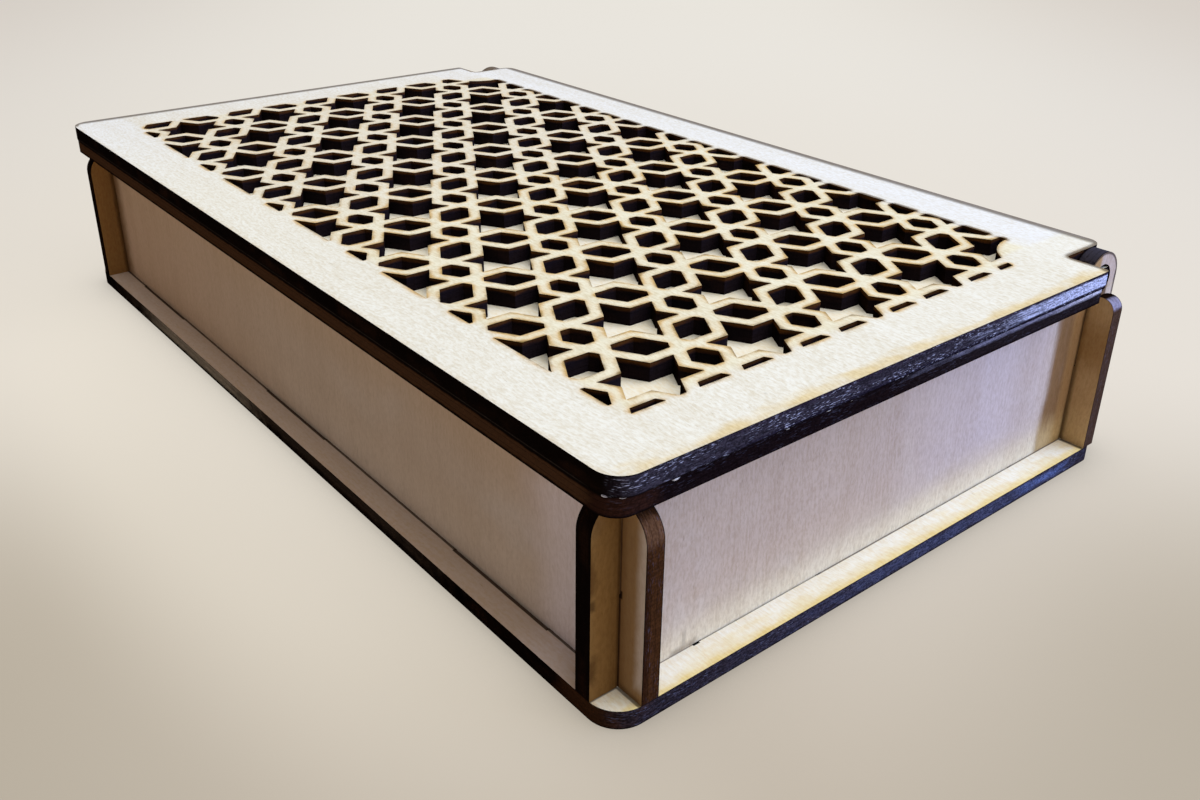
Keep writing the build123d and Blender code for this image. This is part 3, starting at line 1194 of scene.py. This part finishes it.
    def left_marks(self, front: float, side: float) -> tuple[Stain, ...]:
        """The marks on the left wall: smoke and painted shade on the inner face of its front fin.

        Args:
            front: the front wall's outer face on Y, in millimetres.
            side: the side walls' outer face on X, in millimetres.

        Returns:
            The stains.
        """
        inner = -side + self.thickness
        low, high = (inner - 1, front - 12, -5), (inner + 1, front + 1, 45)
        # Smoke and painted shade on the fin, then painted shade in the joint.
        return (
            Stain(low, high, srgb(158, 116, 62), 0.96),
            Stain((inner - 1, front - 1.2, -5), (inner + 1, front + 1, 45), srgb(70, 46, 24), 0.7, (1, 1, 1), 0.3),
        )

    def right_marks(self, front: float, back: float, side: float) -> tuple[Mark, ...]:
        """The marks on the right wall: smoke and painted shade on its fin and by the back wall, painted cool light
        towards the back, and painted bounce light along its foot.

        Args:
            front: the front wall's outer face on Y, in millimetres.
            back: the back wall's inner face on Y, in millimetres.
            side: the wall's outer face on X, in millimetres.

        Returns:
            The stains.
        """
        near, far = side - 4, side + 1
        # The second is painted bounce light from the ledge along the wall's foot.
        tan, foot = srgb(139, 103, 54), srgb(247, 235, 208)
        fin = front - 12
        scorch = self.base_front + 16.7  # the smoke above the first slot's open end
        long, cloudy = (2.4, 1.2, 7.0), (6, 9, 7)
        ear = (self.base_rear, self.wall_high + 1.0)
        # In order: painted cool light towards the back; a cloudy tone; a darker tone high on the front half; painted
        # cool light; painted bounce light along the foot, twice; a warmer tone by the front foot; smoke above the
        # first slot's open end, twice; smoke and painted shade on the fin, five marks; painted shade in the fin's
        # joint; smoke and painted shade by the back wall, four marks, the third lighter towards the bottom and the
        # fourth painted shade in the joint; the ear's tones and the dark ring round its hole.
        return (
            Stain((near, 10, -20), (far, back, 60), srgb(212, 202, 206), 0.5, (1, 34, 1)),
            Stain((near, front, -20), (far, back, 40), srgb(196, 168, 146), 0.4, (1, 20, 12), 1.3, cloudy),
            Stain((near, front - 20, 11), (far, 24, 50), srgb(196, 178, 168), 0.55, (1, 24, 8), 0.2, cloudy),
            Stain((near, -12, 4), (far, back + 8, 60), srgb(210, 201, 216), 0.5, (1, 40, 10), 0.2, cloudy),
            Stain((near, front, -12), (far, back, 14), foot, 0.45, (1, 4, 12), 0.1, cloudy),
            Stain((near, front, -6), (far, back, 9.5), foot, 0.8, (1, 4, 7.0), 0.1, cloudy),
            Stain((near, front, 3), (far, front + 6, 12), srgb(216, 184, 132), 0.5, (1, 4, 5), 0.5),
            Stain((near, scorch - 0.5, 2), (far, scorch + 0.4, 7), srgb(92, 66, 44), 0.45, (1, 0.5, 4), 0.5),
            Stain((near, scorch - 3.5, 2), (far, scorch + 3.0, 4.6), srgb(120, 92, 62), 0.55, (1, 2, 1.4), 0.8),
            Stain((near, fin, -5), (far, front + 0.5, 50), tan, 0.97, (1, 0.6, 1)),
            Stain((near, fin, 18.5), (far, front - 3.2, 26.5), srgb(84, 55, 27), 0.7, (1, 2.2, 3), 0.8),
            Stain((near, fin, 17), (far, front - 3.6, 19.5), srgb(44, 27, 14), 0.6, (1, 0.8, 0.8), 0.6),
            Stain((near, fin, 5), (far, front - 2.8, 10.5), srgb(72, 46, 22), 0.65, (1, 2.0, 2.5), 0.8),
            Stain((near, fin, 29), (far, front + 0.5, 50), srgb(126, 88, 47), 0.5, (1, 1, 3), 0.3),
            Stain((near, front - 0.6, -5), (far, front + 0.5, 50), srgb(60, 34, 18), 0.5, (1, 0.4, 1), 0.2),
            Stain((near, back - 9.8, -20), (far, back + 6, 60), srgb(134, 98, 56), 0.92, (1, 2.8, 1), 0.35, long),
            Stain((near, back - 4.4, -20), (far, back + 6, 60), srgb(188, 153, 111), 0.8, (1, 2.0, 1), 0.2),
            Stain((near, back - 9.8, -20), (far, back + 6, 11), srgb(222, 196, 148), 0.8, (1, 3.0, 7), 0.3, long),
            Stain((near, back - 0.8, -20), (far, back + 6, 34), srgb(70, 46, 24), 0.75, (1, 0.7, 1), 0.3),
            Stain((near, back + 1.5, 32), (far, back + 12, 60), srgb(206, 187, 178), 1.0, (1, 1, 1.5)),
            Stain((near, self.base_rear + 4.3, 20), (far, back + 12, 35), srgb(74, 62, 58), 0.8, (1, 0.5, 1)),
            Ring(ear, 4.5, 4.85, srgb(70, 56, 52), 0.85),
        )


@dataclass
class Lid:
    """The lid's two glued sheets: the plain panel and the pierced lattice.

    Args:
        panel_low: the height of the panel's lower face, in millimetres.
        lattice_low: the height of the lattice plate's lower face, in millimetres.
        half_length: half the lid's length, in millimetres.
        front: the lid's front edge on Y, in millimetres.
        rear: its rear edge on Y, in millimetres.
        panel_rim: the lowest and highest corner of the panel, in millimetres.
        bend_reach: how far the first two beads lie from the middle of the near corner's bend, in millimetres.
        glue_finish: the finish of the dried glue.
    """

    panel_low: float = 33.0
    lattice_low: float = 36.0
    half_length: float = 100.0
    front: float = -60.3
    rear: float = 59.7
    panel_rim: tuple[Point, Point] = ((-99.5, -60.2, 33.0), (99.5, 57.1, 36.0))
    bend_reach: float = 4.0
    glue_finish: GlueFinish = GlueFinish()

    def build(self, nodes: dict[str, bpy.types.Object]) -> None:
        """Dresses the lid's sheets and adds the glue between them.

        Args:
            nodes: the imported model's objects by name.
        """
        SheetPart("lid_panel", self.panel()).dress(nodes)
        SheetPart("lid_lattice", self.lattice()).dress(nodes)
        self.glue()

    def glue(self) -> None:
        """Makes the beads of dried glue between the panel and the lattice plate, along the right edge."""
        shape = bmesh.new()
        chance = random.Random(11)
        # Each spot is a place, a turn and the three half sizes of a bead, in millimetres.
        inset = self.half_length - 0.45
        first = Vector((inset, self.front + 9.9, self.lattice_low - 0.15))
        corner = Vector((self.half_length - 4.4, self.front + 4.05, self.lattice_low))
        spots = [
            (corner + self.bend_reach * Vector((0.499, -0.867, 0)), math.radians(30), (0.55, 0.3, 0.26)),
            (corner + self.bend_reach * Vector((0.867, -0.499, 0)), math.radians(60), (0.6, 0.32, 0.3)),
            (first, math.radians(90), (0.75, 0.42, 0.42)),
        ]
        along = self.front + 24.0
        while along < self.rear - 12.5:
            size = chance.uniform(0.09, 0.2)
            place = Vector((inset, along, self.lattice_low - chance.uniform(0.0, 0.2)))
            spots.append((place, math.radians(90), (chance.uniform(0.15, 0.7), size * 1.4, size)))
            along += chance.uniform(0.5, 3.2)
        for place, turn, size in spots:
            matrix = Matrix.Translation(place * MM) @ Matrix.Rotation(turn, 4, "Z")
            matrix = matrix @ Matrix.Diagonal((*size, 1.0))
            bmesh.ops.create_icosphere(shape, subdivisions=2, radius=MM, matrix=matrix)
        mesh = bpy.data.meshes.new("glue_beads")
        shape.to_mesh(mesh)
        shape.free()
        mesh.materials.append(self.glue_finish.build())
        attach(put_in_scene("glue_beads", mesh), "lid")
        log.info("glue_beads: %d beads", len(spots))

    def panel(self) -> PlyFinish:
        """The plain panel's finish, bright where the lattice shows it.

        Returns:
            The finish.
        """
        low, edge, front = self.panel_low, self.half_length, self.front
        # cool is painted sheen on the right edge.
        cool, brown = srgb(44, 38, 42), srgb(72, 48, 32)
        # These two are painted highlights along the right edge's upper arris.
        arris_glint, gleam = srgb(138, 136, 160), srgb(206, 204, 222)
        even, drawn = (2, 2, 0.6), (2, 3, 0.6)
        burns = (
            Stain((-edge - 1, -65, low + 0.2), (edge - 3, front + 2, low + 2.7), brown, 0.9, (4, 1, 0.4), 0.6, even),
            Stain((edge - 6, -65, low), (edge + 2, front + 9, low + 3), srgb(50, 29, 22), 0.8, (3, 5, 0.6), 0.5),
            Stain((edge - 2, -12, low), (edge + 1, 70, low + 3), cool, 0.4, (1, 30, 0.7), 0.5, (2, 4, 0.6)),
            Stain((edge - 2, -14, low + 1.7), (edge + 1, 90, low + 4), arris_glint, 0.8, (1, 50, 0.6), 0.5, drawn),
            Stain((edge - 2, 30, low + 1.7), (edge + 1, 90, low + 4), gleam, 0.8, (1, 16, 0.6), 0.4, drawn),
        )
        return PlyFinish(
            "panel_birch",
            Facing.UP,
            low,
            Grain.ALONG_X,
            pale=srgb(255, 252, 239),
            deep=srgb(246, 232, 200),
            contrast=0.8,
            streaks=0.3,
            halo=0.3,
            halo_reach=1.2,
            rim_low=self.panel_rim[0],
            rim_high=self.panel_rim[1],
            sheen=srgb(23, 15, 18),
            specks=0.12,
            grit=0.3,
            edge_stains=burns,
        )

    def lattice(self) -> PiercedPly:
        """The pierced plate's finish: cream bars, amber beside the cuts, a blue-black right edge with a painted
        reflection towards the back, and a painted reflection of a cool sky on the left and rear of the top.

        Returns:
            The finish.
        """
        low, edge = self.lattice_low, self.half_length
        top, bottom = low + 2, low + 4
        front, rear = self.front, self.rear
        cream, pale, gold = srgb(246, 241, 215), srgb(246, 245, 236), srgb(234, 212, 154)
        # The first is a painted reflection of a cool sky on the top's left half and rear strip; the second is a
        # painted window reflection on the right edge.
        cool, light = srgb(245, 248, 253), srgb(178, 183, 215)
        ragged, right = (2.6, 7, 2), (edge - 1, edge + 1)
        beds = (
            Stain((-edge - 90, -190, top), (-20, 190, bottom), cool, 0.9, (90, 1, 1)),
            Stain((-edge - 90, rear - 16, top), (edge + 90, rear + 20, bottom), cool, 0.8, (8, 8, 1)),
            Stain((-88.6, front + 11.2, top), (88.6, rear - 12.3, bottom), cream, 0.8, (2.4, 2.4, 1), 0.5, (3, 3, 3)),
            Stain((-110, front + 11.2, top), (20, rear - 12.3, bottom), srgb(242, 238, 224), 0.75, (40, 2.4, 1)),
            Stain((84, 35.5, top), (edge + 2, rear, bottom), pale, 0.95, (1.6, 1.6, 1)),
            Stain((-edge - 2, 35.5, top), (-84, rear, bottom), cool, 0.95, (1.6, 1.6, 1)),
            Stain((edge - 3.2, front + 2, top), (edge + 2, rear, bottom), gold, 0.75, (3.2, 6, 1), 1.0, ragged),
        )
        whitened = Stain((-110, front + 12, top), (10, rear - 13, bottom), srgb(238, 233, 219), 0.4, (40, 2, 1))
        inner = ((-edge + 4, front + 4, low + 2.2), (edge - 4, rear - 6, low + 4))
        # The first is painted sheen on the right edge.
        dull, joint, arris = srgb(50, 46, 57), srgb(32, 28, 42), srgb(44, 36, 50)
        dashed = (1, 2.5, 0.5)
        burns = (
            Stain(*inner, srgb(104, 62, 20), 0.65, (1, 1, 0.8), 0.9, (5, 5, 1)),
            Stain((right[0], -70, low), (right[1], 90, low + 3), dull, 0.9, (0.5, 1, 0.3), 0.5, (3, 6, 1)),
            Stain(
                (right[0], 10, low + 0.2), (right[1], 90, low + 2.9), light, 0.95, (0.5, 28, 0.5), 1.1, (1, 7, 0.3)
            ),
            Stain((right[0], -50, low - 1), (right[1], 90, low + 0.7), joint, 0.95, (0.5, 20, 0.3), 0.4, dashed),
            Stain((right[0], -50, low + 2.35), (right[1], 90, low + 4), arris, 0.9, (0.5, 20, 0.25), 0.4, dashed),
            Stain((-edge, -65, low - 1), (edge - 4, front + 1, low + 0.3), srgb(84, 74, 68), 0.6, (4, 1, 0.2), 0.4),
        )
        return PiercedPly(
            "lattice_birch",
            Facing.UP,
            low,
            Grain.ALONG_X,
            pale=srgb(246, 245, 236),
            deep=srgb(224, 216, 195),
            contrast=0.85,
            streaks=0.22,
            mottles=0.85,
            amber=srgb(228, 188, 116),
            halo=0.85,
            halo_reach=1.4,
            rim_low=(-edge, self.front, low),
            rim_high=(edge, self.rear, low + 3),
            # Specks of ash with painted bluish-white glints.
            ash=srgb(186, 190, 224),
            sheen=srgb(32, 26, 34),
            specks=0.85,
            grit=0.45,
            bed_stains=beds,
            face_stains=(whitened,),
            edge_stains=burns,
        )


@dataclass(frozen=True)
class SoftLight:
    """One square soft lamp that looks at the box.

    Args:
        name: its name.
        place: where it stands, in metres.
        target: the point it looks at, in metres.
        width: its side, in metres.
        power: its power, in watts.
        colour: its colour.
    """

    name: str
    place: Point
    target: Point
    width: float
    power: float
    colour: Colour = (1.0, 1.0, 1.0)

    def build(self) -> bpy.types.Object:
        """Makes the lamp.

        Returns:
            The lamp's object.
        """
        data = bpy.data.lights.new(self.name, "AREA")
        data.shape = "SQUARE"
        data.size = self.width
        data.energy = self.power
        data.color = self.colour
        lamp = put_in_scene(self.name, data)
        lamp.location = self.place
        towards = Vector(self.target) - Vector(self.place)
        lamp.rotation_euler = towards.to_track_quat("-Z", "Y").to_euler()
        return lamp


@dataclass
class Studio:
    """The floor, the lamps and the camera.

    Args:
        floor_reach: half the floor's side, in metres.
        eye: the camera's place, in metres.
        turn: the camera's turns about X, Y and Z, in degrees.
        lens: its focal length, in millimetres.
        shift: how far the frame is moved up, as a share of its width.
        contact: how far the box darkens the floor beside it, in metres.
        under_eye: the spot on the floor under the camera, in metres.
        sideways: the camera's sideways direction, along the floor.
        clip: the nearest and furthest points that the camera sees, in metres.
        lamps: the soft lamps.
    """

    floor_reach: float = 6.0
    eye: Point = (0.18471252, -0.13242750, 0.10901904)
    turn: Point = (64.53014, -0.69772, 50.89279)
    lens: float = 34.4636
    shift: float = -0.04325
    contact: float = 0.014
    under_eye: Point = (0.184, -0.132, 0.0)
    sideways: Point = (0.631, 0.776, 0.0)
    clip: tuple[float, float] = (0.005, 50.0)
    lamps: tuple[SoftLight, ...] = (
        SoftLight("overhead_lamp", (0.58, 0.66, 2.3), (0, 0, 0), 3.2, 76.0, (1.0, 0.99, 0.965)),
        SoftLight("window_lamp", (0.42, 0.42, 0.16), (0.1, 0.02, 0.02), 0.35, 3.0, (0.3, 0.5, 1.0)),
    )

    def build(self) -> None:
        """Makes the floor, the lamps, the world and the camera."""
        self.floor()
        for lamp in self.lamps:
            lamp.build()
        self.world()
        self.camera()
        log.info("studio: %d lamps", len(self.lamps))

    def seen(self, graph: Graph) -> bpy.types.NodeSocket:
        """The mask of what the camera sees, straight, in a reflection or through a clear thing.

        Args:
            graph: the material's or world's graph.

        Returns:
            The mask's socket.
        """
        path = graph.add("ShaderNodeLightPath").outputs
        seen = graph.math("MAXIMUM", path["Is Camera Ray"], path["Is Glossy Ray"])
        return graph.math("MAXIMUM", seen, path["Is Transmission Ray"])

    def floor(self) -> None:
        """Makes the pale floor, with a soft dark edge where the box stands on it."""
        shape = bmesh.new()
        bmesh.ops.create_grid(shape, x_segments=1, y_segments=1, size=self.floor_reach)
        mesh = bpy.data.meshes.new("floor")
        shape.to_mesh(mesh)
        shape.free()
        made, graph = blank_material("floor_paper")
        seen = self.seen(graph)
        close = graph.add("ShaderNodeAmbientOcclusion", {"Distance": self.contact})
        close.samples = 8
        shown = graph.scale(self.paper(graph), graph.ramp(close.outputs["AO"], 0.35, 1.0, 0.7, 1.0))
        colour = graph.blend(seen, srgb(214, 203, 190), graph.scale(shown, 0.17))
        shader = graph.add("ShaderNodeBsdfPrincipled", {"Base Color": colour, "Roughness": 0.9})
        shader.inputs["Specular IOR Level"].default_value = 0.1
        graph.feed(shader.inputs["Emission Color"], shown)
        graph.feed(shader.inputs["Emission Strength"], graph.math("MULTIPLY", seen, 0.85))
        graph.finish(shader.outputs["BSDF"])
        mesh.materials.append(made)
        put_in_scene("floor", mesh)

    def paper(self, graph: Graph) -> bpy.types.NodeSocket:
        """The floor's colour, a soft warm beige that is lightest behind the box, with painted shade near the spot
        under the camera and towards the sides, and a painted pool of light just in front of the box.

        Args:
            graph: the material's graph.

        Returns:
            The colour's socket.
        """
        place = graph.add("ShaderNodeTexCoord").outputs["Object"]
        offset = graph.vector("SUBTRACT", place, self.under_eye)
        away = graph.vector("LENGTH", offset)
        aside = graph.math("ABSOLUTE", graph.vector("DOT_PRODUCT", offset, self.sideways))
        # Painted shade near the spot under the camera and towards the sides; the last blend below is a painted pool
        # of light in front of the box.
        paper = graph.blend(graph.ramp(away, 0.08, 0.22), srgb(190, 179, 163), srgb(227, 220, 209))
        paper = graph.blend(graph.ramp(away, 0.22, 0.6), paper, srgb(229, 225, 217))
        paper = graph.blend(graph.ramp(aside, 0.08, 0.4), paper, srgb(210, 203, 195))
        side_shade = graph.ramp(graph.math("DIVIDE", aside, away), 0.25, 0.6)
        side_shade = graph.math("MULTIPLY", side_shade, graph.ramp(away, 0.26, 0.14))
        paper = graph.blend(side_shade, paper, srgb(184, 174, 158))
        front = graph.vector("SUBTRACT", place, (0.0, -0.07, 0.0))
        far = graph.vector("LENGTH", graph.vector("MULTIPLY", front, (0.55, 1.9, 1.0)))
        return graph.blend(graph.ramp(far, 0.08, 0.03, 0.0, 0.34), paper, srgb(246, 238, 222))

    def world(self) -> None:
        """Makes the world: a weak even light, and a pale backdrop where the camera sees it."""
        world = bpy.data.worlds.new("studio_world")
        bpy.context.scene.world = world
        world.use_nodes = True
        world.node_tree.nodes.clear()
        graph = Graph(world.node_tree)
        seen = self.seen(graph)
        colour = graph.blend(seen, (0.9, 0.86, 0.82), srgb(228, 222, 213))
        light = graph.add("ShaderNodeBackground", {"Color": colour, "Strength": graph.lerp(seen, 0.2, 1.0)})
        graph.finish(light.outputs["Background"], "ShaderNodeOutputWorld")

    def camera(self) -> None:
        """Makes the camera that frames the closed box."""
        data = bpy.data.cameras.new("camera")
        data.sensor_fit = "HORIZONTAL"
        data.sensor_width = 36.0
        data.lens = self.lens
        data.shift_y = self.shift
        data.clip_start, data.clip_end = self.clip
        camera = put_in_scene("camera", data)
        camera.location = self.eye
        camera.rotation_euler = [math.radians(t) for t in self.turn]
        bpy.context.scene.camera = camera


def main() -> None:
    """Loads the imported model, dresses each sub-assembly, and builds the studio."""
    logging.basicConfig(level=logging.INFO, format="%(name)s: %(message)s")
    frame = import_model()
    bpy.context.scene.view_settings.view_transform = "Standard"
    Tray().build(frame["nodes"])
    Lid().build(frame["nodes"])
    Studio().build()


if __name__ == "__main__":
    main()
